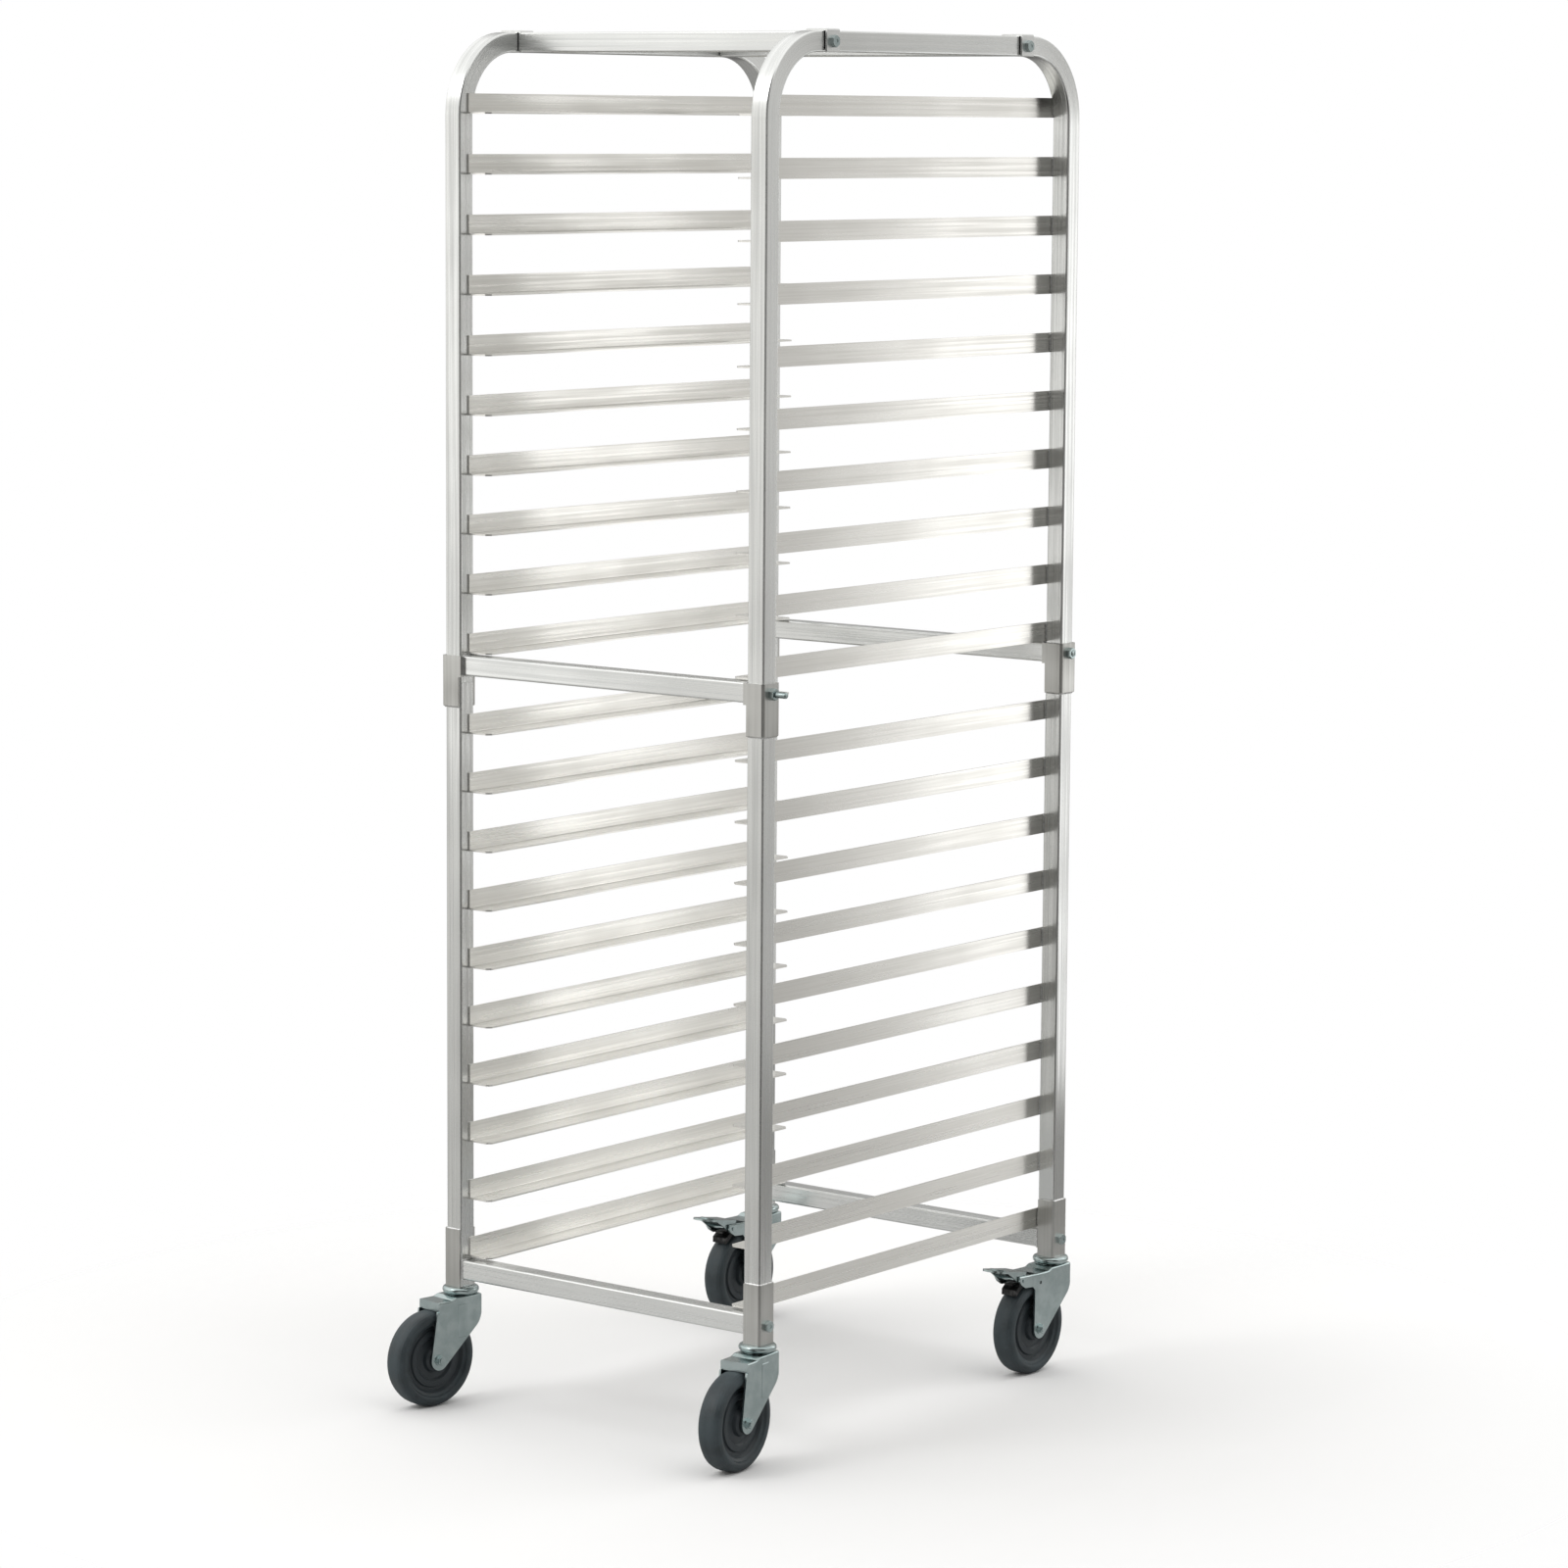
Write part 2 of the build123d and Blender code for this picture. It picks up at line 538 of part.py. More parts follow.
def tyre():
    """The solid tyre: a flat tread with rounded shoulders and a shallow side groove."""
    half = TREAD_WIDTH / 2
    return ring_of([
        (CORE_RADIUS, half - 5.0), (CORE_RADIUS + 3.5, half - 3.2), (CORE_RADIUS + 5.0, half - 0.8),
        (CORE_RADIUS + 7.5, half), (WHEEL_RADIUS - 7.6, half), (WHEEL_RADIUS - 4.4, half - 1.0),
        (WHEEL_RADIUS - 1.9, half - 3.3), (WHEEL_RADIUS - 0.5, half - 6.8), (WHEEL_RADIUS, half - 11),
    ])


def wheel_core():
    """The stepped disc and hub inside the tyre, with the axle's bore."""
    half = TREAD_WIDTH / 2
    bore = AXLE_RADIUS + SLEEVE_FIT + 2
    hub_half = FORK_INNER_WIDTH / 2 - 2.4
    web = CORE_RADIUS - HUB_RADIUS
    steps = [(HUB_RADIUS + share * web, half - depth) for share, depth in CORE_STEPS]
    return ring_of([
        (bore, hub_half), (HUB_RADIUS - 3, hub_half), (HUB_RADIUS, hub_half - 3), (HUB_RADIUS + 1.5, half - 8),
        *steps, (CORE_RADIUS - 0.1, half - 5.2),
    ])


def axle():
    """The axle bolt with its bushing, its head on one side of the fork and a nut on the other."""
    seat = LEG_OUTER + AXLE_WASHER_THICKNESS
    head = hexagon(-seat, -CASTER_TRAIL, WHEEL_RADIUS, AXLE_NUT_HEIGHT, -1, AXLE_HEX_FLATS)
    nut = hexagon(seat, -CASTER_TRAIL, WHEEL_RADIUS, AXLE_NUT_HEIGHT, 1, AXLE_HEX_FLATS)
    rims = [
        rod(AXLE_WASHER_RADIUS, x, -CASTER_TRAIL, WHEEL_RADIUS, AXLE_WASHER_THICKNESS, Axis.X)
        for x in (-seat, LEG_OUTER)
    ]
    shaft = rod(AXLE_RADIUS, -LEG_OUTER, -CASTER_TRAIL, WHEEL_RADIUS, 2 * LEG_OUTER + AXLE_NUT_HEIGHT + 2.2, Axis.X)
    bushing_radius = AXLE_RADIUS + SLEEVE_FIT + 2 - RUNNING_CLEARANCE
    half = FORK_INNER_WIDTH / 2
    bushing = rod(bushing_radius, -half, -CASTER_TRAIL, WHEEL_RADIUS, 2 * half, Axis.X)
    washer_length = half - (FORK_INNER_WIDTH / 2 - 2.4) - BODY_GAP
    washers = [
        rod(SPACER_RADIUS + 2, x, -CASTER_TRAIL, WHEEL_RADIUS, washer_length, Axis.X)
        for x in (-half, half - washer_length)
    ]
    return head + nut + rims + shaft + bushing + washers


def pedal():
    """The brake pedal: a rounded tongue on two cheeks that turn on a pin through the fork."""
    cheek_outer = FORK_INNER_WIDTH / 2 - 1.0
    cheek_inner = cheek_outer - 2.0
    pin_y, pin_z = -PEDAL_PIN_TRAIL, PEDAL_PIN_HEIGHT
    web = make_face(Polyline(
        (PEDAL_PIN_TRAIL - 9, pin_z + 8.5), (PEDAL_PIN_TRAIL + 18, pin_z + 12.5), (PEDAL_PIN_TRAIL + 30, pin_z + 14.5),
        (PEDAL_PIN_TRAIL + 16, pin_z + 4), (PEDAL_PIN_TRAIL + 5, pin_z - 4.5), (PEDAL_PIN_TRAIL - 4, pin_z - 4.5),
        (PEDAL_PIN_TRAIL - 8, pin_z + 1), close=True,
    ))
    cheeks = prism(trail_plane(cheek_outer), web, 2 * cheek_outer)
    cheeks -= box((-cheek_inner, cheek_inner), (pin_y - 60, pin_y + 30), (pin_z - 30, pin_z + 30))
    tilt = degrees(asin(PEDAL_RISE / 60))
    tongue_plane = Plane(origin=(0, pin_y + 10, pin_z + 7.5)) * Rot(-tilt, 0, 0)
    length = 50.0
    outline = Pos(0, -length / 2) * Rectangle(2 * cheek_outer, length)
    tip = Pos(0, -length) * Ellipse(cheek_outer, 12)
    tongue = extrude(tongue_plane * (outline + tip), 2.6)
    crease = extrude(tongue_plane * Pos(0, -length + 8, 2.6) * Ellipse(cheek_outer - 5, 8), 1.2)
    pin = rod(BRAKE_PIN_RADIUS, -LEG_OUTER - 1.2, pin_y, pin_z, 2 * LEG_OUTER + 2.4, Axis.X)
    return cheeks + tongue + crease + pin


def brake_shoe():
    """The shoe under the pedal, curved to the tread, on an arm that turns on its own pin."""
    inner = WHEEL_RADIUS + SHOE_GAP
    outer = inner + SHOE_THICKNESS
    centre = (-CASTER_TRAIL, WHEEL_RADIUS)
    plane = Plane(origin=(-12, centre[0], centre[1]), z_dir=(1, 0, 0))
    ring = prism(plane, Circle(outer) - Circle(inner), 24)
    ring = ring & box((-12, 12), (-CASTER_TRAIL - SHOE_REACH, -CASTER_TRAIL - 19), (60, 200))
    pin_y, pin_z = -SHOE_PIN_TRAIL, SHOE_PIN_HEIGHT
    boss = rod(4.0, -12, pin_y, pin_z, 24, Axis.X)
    arm = box((-12, 12), (pin_y - 12, pin_y), (pin_z - SHOE_ARM_DEPTH, pin_z + 3.5))
    arm -= prism(plane, Circle(inner), 24)
    pin_half = LEG_OUTER - SHOE_PIN_SKIN - 0.3
    pin = rod(BRAKE_PIN_RADIUS, -pin_half, pin_y, pin_z, 2 * pin_half, Axis.X)
    spring = box((-6, 6), (pin_y - 30, pin_y - 11), (pin_z - 4.5, pin_z - 1.5))
    return ring + boss + arm + pin + spring


def place(piece, side, end, swivel):
    """Turn a caster piece about its stem and move it under its post."""
    return Pos(SIDES[side] * POST_X, ENDS[end] * POST_Y, 0) * Rot(0, 0, swivel) * piece


def write_caster(side, end, swivel, braked):
    """Write every node of one caster."""
    name = f"{end}_{side}"
    parts = {
        "caster_fork": brake_fork() if braked else plain_fork(),
        "caster_tyre": tyre(),
        "caster_core": wheel_core(),
        "caster_axle": axle(),
    }
    if braked:
        parts |= {"brake_pedal": pedal(), "brake_shoe": brake_shoe()}
    for part, piece in parts.items():
        write(f"{part}_{name}", place(piece, side, end, swivel))


def main():
    """Write the whole rack, one STEP file per node."""
    os.makedirs("parts", exist_ok=True)
    for side in SIDES:
        write(f"upper_hoop_{side}", hoop(side))
    for side, end in CORNERS:
        write(f"lower_post_{end}_{side}", lower_post(side, end))
    for end in ENDS:
        write(f"top_bar_{end}", top_bar(end))
        write(f"mid_bar_{end}", mid_bar(end))
        write(f"low_bar_{end}", low_bar(end))
    write("mid_sleeves", *(mid_sleeve(*corner) for corner in CORNERS))
    write("low_sleeves", *(low_sleeve(*corner) for corner in CORNERS))
    write("top_clips", *(clip(*corner) for corner in CORNERS))
    write("top_bolts", *(top_bolt(*corner) for corner in CORNERS))
    write("mid_bolts", *(mid_bolt(*corner) for corner in CORNERS))
    write("mid_nuts", *(mid_nut(*corner) for corner in CORNERS))
    write("low_bolts", *(low_bolt(*corner) for corner in CORNERS))
    for number, top in enumerate(tier_tops(), 1):
        write(f"slides_{number:02d}", *(slide(side, top) for side in SIDES))
    write("caster_stems", *(place(caster_stem(), *corner, 0) for corner in CORNERS))
    write_caster("left", "front", FRONT_LEFT_SWIVEL, False)
    write_caster("right", "front", FRONT_RIGHT_SWIVEL, False)
    write_caster("left", "rear", 0.0, True)
    write_caster("right", "rear", 0.0, True)


main()
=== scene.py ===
"""Looks for a roll-in sheet pan rack.

Bent aluminium side frames, twenty pairs of angle slides and four casters.
"""

import logging
import math
from dataclasses import dataclass, field
from enum import Enum

import bmesh
import bpy
from mathutils import Matrix, Vector


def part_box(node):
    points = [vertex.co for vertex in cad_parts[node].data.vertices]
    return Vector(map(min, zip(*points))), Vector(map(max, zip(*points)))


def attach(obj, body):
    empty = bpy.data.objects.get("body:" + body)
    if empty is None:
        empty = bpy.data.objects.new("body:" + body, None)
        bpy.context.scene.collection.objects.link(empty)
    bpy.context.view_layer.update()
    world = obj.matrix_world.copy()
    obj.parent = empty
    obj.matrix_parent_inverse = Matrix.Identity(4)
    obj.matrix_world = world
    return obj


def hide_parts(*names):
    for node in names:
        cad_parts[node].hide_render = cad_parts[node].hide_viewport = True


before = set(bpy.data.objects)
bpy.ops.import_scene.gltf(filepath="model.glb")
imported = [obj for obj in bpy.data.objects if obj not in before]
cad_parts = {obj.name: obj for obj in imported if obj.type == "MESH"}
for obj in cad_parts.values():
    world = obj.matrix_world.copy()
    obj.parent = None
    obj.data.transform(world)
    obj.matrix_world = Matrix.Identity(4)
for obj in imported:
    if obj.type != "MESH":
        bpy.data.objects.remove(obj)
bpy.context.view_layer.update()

LOG = logging.getLogger("sheet_pan_rack")
SIDES = {"left": -1, "right": 1}
ENDS = {"front": -1, "rear": 1}
CORNERS = [(end, side) for end in ENDS for side in SIDES]
MM = 0.001
Colour = tuple[float, float, float]
Direction = tuple[float, float, float]
Range = tuple[float, float]
WHOLE: Range = (0.0, 1.0)
WHITE: Colour = (1.0, 1.0, 1.0)
UP = Vector((0, 0, 1))
MERGE_DISTANCE = 1e-6
BEAD_FLATS = 7
BEAD_DIP = 0.78
BEAD_TAPER = 0.55


class Run(Enum):
    """The direction in which a piece was extruded, bent or brushed."""

    X = "x"
    Y = "y"
    Z = "z"
    HOOP = "hoop"


# ---------------------------------------------------------------- shader graphs
@dataclass
class Graph:
    """Adds nodes to one shader tree and links them."""

    tree: bpy.types.NodeTree

    def node(self, kind: str, inputs: dict | None = None, **settings: object) -> bpy.types.Node:
        """Add a node.

        Args:
            kind: The node's type name, such as ShaderNodeMath.
            inputs: Socket name or number to a value or to another node's output.
            settings: Attributes of the node itself.

        Returns:
            The new node.
        """
        made = self.tree.nodes.new(kind)
        for key, value in settings.items():
            setattr(made, key, value)
        for key, value in (inputs or {}).items():
            if isinstance(value, bpy.types.NodeSocket):
                self.tree.links.new(value, made.inputs[key])
            else:
                made.inputs[key].default_value = value
        return made

    def math(self, operation: str, *values: object) -> bpy.types.NodeSocket:
        """Add a maths node on one to three values and give its result."""
        return self.node("ShaderNodeMath", dict(enumerate(values)), operation=operation).outputs[0]

    def weigh(self, first: object, second: object, share: float) -> bpy.types.NodeSocket:
        """Add a share of one value to the rest of another."""
        return self.math("MULTIPLY_ADD", first, share, self.math("MULTIPLY", second, 1.0 - share))

    def vector(self, operation: str, *values: object) -> bpy.types.Node:
        """Add a vector maths node on its values."""
        return self.node("ShaderNodeVectorMath", dict(enumerate(values)), operation=operation)

    def spread(self, value: bpy.types.NodeSocket, source: Range,
               target: Range) -> bpy.types.NodeSocket:
        """Map a value smoothly from one range to another.

        Args:
            value: What to map.
            source: The low and high end of what comes in.
            target: The low and high end of what goes out.

        Returns:
            The mapped value.
        """
        inputs = {"Value": value, "From Min": source[0], "From Max": source[1],
                  "To Min": target[0], "To Max": target[1]}
        return self.node("ShaderNodeMapRange", inputs, interpolation_type="SMOOTHSTEP").outputs[0]

    def noise(self, vector: bpy.types.NodeSocket, scale: float,
              detail: float = 2.0) -> bpy.types.NodeSocket:
        """Add a noise texture and give its grey value."""
        inputs = {"Vector": vector, "Scale": scale, "Detail": detail}
        return self.node("ShaderNodeTexNoise", inputs).outputs["Fac"]

    def blend(self, share: object, first: Colour, second: Colour) -> bpy.types.NodeSocket:
        """Mix two colours by a share and give the result."""
        inputs = {"Factor": share, 6: (*first, 1.0), 7: (*second, 1.0)}
        return self.node("ShaderNodeMix", inputs, data_type="RGBA").outputs[2]

    def bump(self, height: object, strength: float, distance: float) -> bpy.types.NodeSocket:
        """Add a bump node and give its normal."""
        inputs = {"Height": height, "Strength": strength, "Distance": distance}
        return self.node("ShaderNodeBump", inputs).outputs[0]


@dataclass
class Finish:
    """A named material with an empty tree, a Principled shader and its output."""

    name: str

    def start(self) -> tuple[bpy.types.Material, Graph, bpy.types.Node]:
        """Make the material.

        Returns:
            The material, its graph and its Principled shader.
        """
        material = bpy.data.materials.new(self.name)
        material.use_nodes = True
        material.node_tree.nodes.clear()
        graph = Graph(material.node_tree)
        shader = graph.node("ShaderNodeBsdfPrincipled")
        graph.node("ShaderNodeOutputMaterial", {"Surface": shader.outputs[0]})
        return material, graph, shader


def connect(graph: Graph, shader: bpy.types.Node, **sockets: object) -> None:
    """Link or set the shader's sockets.

    Args:
        graph: The tree that the shader is in.
        shader: The shader.
        sockets: Values or outputs, by socket name with underscores for spaces.
    """
    for key, value in sockets.items():
        socket = shader.inputs[key.replace("_", " ")]
        if isinstance(value, bpy.types.NodeSocket):
            graph.tree.links.new(value, socket)
        else:
            socket.default_value = value


@dataclass(frozen=True)
class BendLine:
    """Where the side hoop's tube turns from a leg into the top rail."""

    leg_y: float
    rail_z: float
    radius: float


@dataclass
class DrawnAluminium(Finish):
    """Mill finish aluminium with fine lines along the way it was drawn."""

    run: Run = Run.Z
    light: Colour = (0.80, 0.81, 0.80)
    dark: Colour = (0.64, 0.65, 0.64)
    roughness: Range = (0.20, 0.30)
    across: float = 2400.0
    along: float = 9.0
    broad_across: float = 7
    broad_along: float = 3
    fine_detail: float = 3.0
    fine_share: float = 0.40
    smudge_scale: float = 9.0
    tone_band: Range = (0.34, 0.66)
    wear_band: Range = (0.36, 0.64)
    fine_relief: float = 0.7
    broad_relief: float = 0.9
    relief_height: float = 0.00012
    anisotropy: float = 0.72
    grain: float = 0.12
    mottle: float = 0.25
    off_axis: Direction = (0.013, 0.017, 0.015)
    bend: BendLine | None = None

    def build(self) -> bpy.types.Material:
        """Make the material.

        Returns:
            The material.
        """
        material, graph, shader = self.start()
        place = graph.node("ShaderNodeTexCoord").outputs["Object"]
        lines = self.stretched(graph, place, self.across, self.along)
        streaks = self.stretched(graph, place, self.across / self.broad_across,
                                 self.along / self.broad_along)
        fine = graph.noise(lines, 1.0, self.fine_detail)
        broad = graph.noise(streaks, 1.0)
        smudge = graph.noise(place, self.smudge_scale)
        tone = graph.weigh(smudge, graph.weigh(fine, broad, self.fine_share), self.mottle)
        colour = graph.blend(graph.spread(tone, self.tone_band, WHOLE), self.light, self.dark)
        wear = graph.weigh(smudge, broad, self.mottle)
        rough = graph.spread(wear, self.wear_band, self.roughness)
        height = graph.math("MULTIPLY_ADD", fine, self.fine_relief,
                            graph.math("MULTIPLY", broad, self.broad_relief))
        normal = graph.bump(height, self.grain, self.relief_height)
        connect(graph, shader, Base_Color=colour, Metallic=1.0, Roughness=rough,
                Anisotropic=self.anisotropy, Normal=normal, Tangent=self.tangent(graph, place))
        return material

    def stretched(self, graph: Graph, place: bpy.types.NodeSocket, across: float,
                  along: float) -> bpy.types.NodeSocket:
        """Scale a position so that a noise on it becomes lines along the run.

        Args:
            graph: Where the nodes go.
            place: The position, in metres.
            across: Scale across the run.
            along: Scale along the run.

        Returns:
            The scaled position.
        """
        if self.run is Run.HOOP:
            x, y, z, radial = self.hoop_parts(graph, place)[:4]
            travel = graph.math("SUBTRACT", z, graph.math("ABSOLUTE", y))
            inputs = {0: graph.math("MULTIPLY", x, across),
                      1: graph.math("MULTIPLY", radial, across),
                      2: graph.math("MULTIPLY", travel, along)}
            return graph.node("ShaderNodeCombineXYZ", inputs).outputs[0]
        scale = [across if axis is not self.run else along for axis in (Run.X, Run.Y, Run.Z)]
        return graph.vector("MULTIPLY", place, scale).outputs[0]

    def hoop_parts(self, graph: Graph,
                   place: bpy.types.NodeSocket) -> tuple[bpy.types.NodeSocket, ...]:
        """Measure a point of the hoop against the line of its bent tube.

        Args:
            graph: Where the nodes go.
            place: The position, in metres.

        Returns:
            X, Y, Z, the distance from the tube's line, and the outward direction's Y and Z.
        """
        parts = graph.node("ShaderNodeSeparateXYZ", {0: place})
        x, y, z = parts.outputs
        corner_y = self.bend.leg_y - self.bend.radius
        corner_z = self.bend.rail_z - self.bend.radius
        past_y = graph.math("SUBTRACT", graph.math("ABSOLUTE", y), corner_y)
        over_y = graph.math("MAXIMUM", past_y, 0.0)
        over_z = graph.math("MAXIMUM", graph.math("SUBTRACT", z, corner_z), 0.0)
        square = graph.math("MULTIPLY_ADD", over_y, over_y, graph.math("MULTIPLY", over_z, over_z))
        radial = graph.math("SUBTRACT", graph.math("SQRT", square), self.bend.radius)
        outward_y = graph.math("MULTIPLY", graph.math("SIGN", y), over_y)
        return x, y, z, radial, outward_y, over_z

    def tangent(self, graph: Graph, place: bpy.types.NodeSocket) -> bpy.types.NodeSocket:
        """Give the direction across the lines on each face, along which reflections blur.

        Args:
            graph: Where the nodes go.
            place: The position, in metres.

        Returns:
            The direction, kept off zero on faces that the run points out of.
        """
        if self.run is Run.HOOP:
            outward_y, outward_z = self.hoop_parts(graph, place)[4:]
            inputs = {1: graph.math("MULTIPLY", outward_z, -1.0), 2: outward_y}
        else:
            inputs = {self.run.value.upper(): 1.0}
        run = graph.node("ShaderNodeCombineXYZ", inputs).outputs[0]
        facing = graph.node("ShaderNodeNewGeometry").outputs["Normal"]
        across = graph.vector("CROSS_PRODUCT", run, facing).outputs[0]
        return graph.vector("ADD", across, self.off_axis).outputs[0]


@dataclass
class ZincPlate(Finish):
    """Bright zinc on pressed steel, with a faint cool cast and cloudy patches."""

    light: Colour = (0.45, 0.52, 0.52)
    dark: Colour = (0.37, 0.44, 0.44)
    roughness: Range = (0.17, 0.27)
    cloud_scale: float = 55.0
    speck_scale: float = 900.0
    speck_share: float = 0.15
    tone_band: Range = (0.36, 0.66)
    wear_band: Range = (0.35, 0.65)
    grain: float = 0.08
    relief_height: float = 0.0002

    def build(self) -> bpy.types.Material:
        """Make the material.

        Returns:
            The material.
        """
        material, graph, shader = self.start()
        place = graph.node("ShaderNodeTexCoord").outputs["Object"]
        cloud = graph.noise(place, self.cloud_scale, 4.0)
        speck = graph.noise(place, self.speck_scale)
        mixed = graph.weigh(speck, cloud, self.speck_share)
        colour = graph.blend(graph.spread(mixed, self.tone_band, WHOLE), self.light, self.dark)
        normal = graph.bump(mixed, self.grain, self.relief_height)
        connect(graph, shader, Base_Color=colour, Metallic=1.0, Normal=normal,
                Roughness=graph.spread(mixed, self.wear_band, self.roughness))
        return material


@dataclass
class MouldedBlack(Finish):
    """Dark rubber or plastic with a fine moulded skin and a trace of dust."""

    light: Colour = (0.054, 0.072, 0.080)
    dark: Colour = (0.028, 0.038, 0.043)
    roughness: Range = (0.42, 0.62)
    skin: float = 0.25
    specular: float = 0.4
    patch_scale: float = 38.0
    pore_scale: float = 1500.0
    pore_share: float = 0.4
    tone_band: Range = (0.36, 0.64)
    wear_band: Range = (0.35, 0.65)
    relief_height: float = 0.0002

    def build(self) -> bpy.types.Material:
        """Make the material.

        Returns:
            The material.
        """
        material, graph, shader = self.start()
        place = graph.node("ShaderNodeTexCoord").outputs["Object"]
        patch = graph.noise(place, self.patch_scale, 4.0)
        pores = graph.noise(place, self.pore_scale)
        mixed = graph.weigh(pores, patch, self.pore_share)
        colour = graph.blend(graph.spread(mixed, self.tone_band, WHOLE), self.dark, self.light)
        normal = graph.bump(pores, self.skin, self.relief_height)
        connect(graph, shader, Base_Color=colour, Normal=normal,
                Specular_IOR_Level=self.specular,
                Roughness=graph.spread(patch, self.wear_band, self.roughness))
        return material


@dataclass
class BlackSteel(Finish):
    """Black oxide on small steel parts, rubbed lighter in places."""

    light: Colour = (0.10, 0.10, 0.10)
    dark: Colour = (0.018, 0.018, 0.018)
    roughness: Range = (0.32, 0.55)
    rub_scale: float = 160.0
    tone_band: Range = (0.45, 0.75)
    wear_band: Range = (0.3, 0.7)
    metallic: float = 0.6
    grain: float = 0.2
    relief_height: float = 0.0002

    def build(self) -> bpy.types.Material:
        """Make the material.

        Returns:
            The material.
        """
        material, graph, shader = self.start()
        place = graph.node("ShaderNodeTexCoord").outputs["Object"]
        rub = graph.noise(place, self.rub_scale, 3.0)
        colour = graph.blend(graph.spread(rub, self.tone_band, WHOLE), self.dark, self.light)
        connect(graph, shader, Base_Color=colour, Metallic=self.metallic,
                Normal=graph.bump(rub, self.grain, self.relief_height),
                Roughness=graph.spread(rub, self.wear_band, self.roughness))
        return material


@dataclass
class WeldMetal(Finish):
    """Aluminium filler metal: satin, a little darker and rippled."""

    light: Colour = (0.80, 0.80, 0.80)
    dark: Colour = (0.52, 0.52, 0.51)
    roughness: Range = (0.28, 0.48)
    soot_scale: float = 260.0
    tone_band: Range = (0.4, 0.72)
    wear_band: Range = (0.3, 0.7)
    grain: float = 0.3
    relief_height: float = 0.0004

    def build(self) -> bpy.types.Material:
        """Make the material.

        Returns:
            The material.
        """
        material, graph, shader = self.start()
        place = graph.node("ShaderNodeTexCoord").outputs["Object"]
        soot = graph.noise(place, self.soot_scale, 4.0)
        colour = graph.blend(graph.spread(soot, self.tone_band, WHOLE), self.light, self.dark)
        connect(graph, shader, Base_Color=colour, Metallic=1.0,
                Normal=graph.bump(soot, self.grain, self.relief_height),
                Roughness=graph.spread(soot, self.wear_band, self.roughness))
        return material


# ---------------------------------------------------------------- mesh helpers
def finish_piece(mesh: bmesh.types.BMesh, name: str, material: bpy.types.Material, body: str) -> bpy.types.Object:
    """Turn a bmesh into a piece that rides on a body.

    Args:
        mesh: The shape, in the row frame; it is freed.
        name: The piece's name.
        material: Its finish.
        body: The CAD body that it rides on.

    Returns:
        The object, at the origin.
    """
    bmesh.ops.recalc_face_normals(mesh, faces=mesh.faces)
    for face in mesh.faces:
        face.smooth = True
    data = bpy.data.meshes.new(name)
    mesh.to_mesh(data)
    mesh.free()
    data.materials.append(material)
    piece = bpy.data.objects.new(name, data)
    bpy.context.scene.collection.objects.link(piece)
    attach(piece, body)
    return piece


def bead(mesh: bmesh.types.BMesh, points: list[Vector], side: Vector, radius: float,
         pitch: float) -> None:
    """Lay a rippled weld bead along a line of points.

    Args:
        mesh: Where the bead goes.
        points: The corners of the bead's line.
        side: A direction that the line never runs along, which sets the ring's turn.
        radius: The bead's radius.
        pitch: The distance between ripples.
    """
    rings = []
    travelled = 0.0
    for start, stop in zip(points, points[1:]):
        length = (stop - start).length
        steps = max(2, round(length / pitch * 2))
        for step in range(steps + (stop is points[-1])):
            share = step / steps
            ripple = 1.0 if round((travelled + share * length) / pitch * 2) % 2 else BEAD_DIP
            tail = stop is points[-1] and step == steps
            tip = start is points[0] and step == 0
            ripple *= BEAD_TAPER if tail or tip else 1.0
            forward = (stop - start).normalized()
            first = side.cross(forward).normalized()
            turn = Matrix((first, forward.cross(first), forward)).transposed().to_4x4()
            turn.translation = start.lerp(stop, share)
            made = bmesh.ops.create_circle(mesh, segments=BEAD_FLATS, radius=radius * ripple,
                                           matrix=turn, cap_ends=False)
            rings.append(made["verts"])
        travelled += length
    for first, second in zip(rings, rings[1:]):
        edges = {edge for ring in (first, second) for vert in ring for edge in vert.link_edges
                 if all(v in ring for v in edge.verts)}
        bmesh.ops.bridge_loops(mesh, edges=list(edges))
    for ring in (rings[0], rings[-1]):
        bmesh.ops.contextual_create(mesh, geom=ring)


def lathe(mesh: bmesh.types.BMesh, profile: list[tuple[float, float]], centre: Vector,
          axis: Vector, steps: int) -> None:
    """Spin a profile of (distance along the axis, radius) into a closed solid.

    Args:
        mesh: Where the solid goes.
        profile: The outline, starting and ending on the axis.
        centre: Where distance zero lies.
        axis: The direction of the axis.
        steps: How many flats make a turn.
    """
    radial = axis.orthogonal().normalized()
    verts = [mesh.verts.new(centre + axis * along + radial * radius) for along, radius in profile]
    edges = [mesh.edges.new(pair) for pair in zip(verts, verts[1:])]
    bmesh.ops.spin(mesh, geom=verts + edges, cent=centre, axis=axis, angle=math.tau,
                   steps=steps, use_merge=True)
    touched = {v for f in mesh.faces for v in f.verts}
    bmesh.ops.remove_doubles(mesh, verts=list(touched), dist=MERGE_DISTANCE)


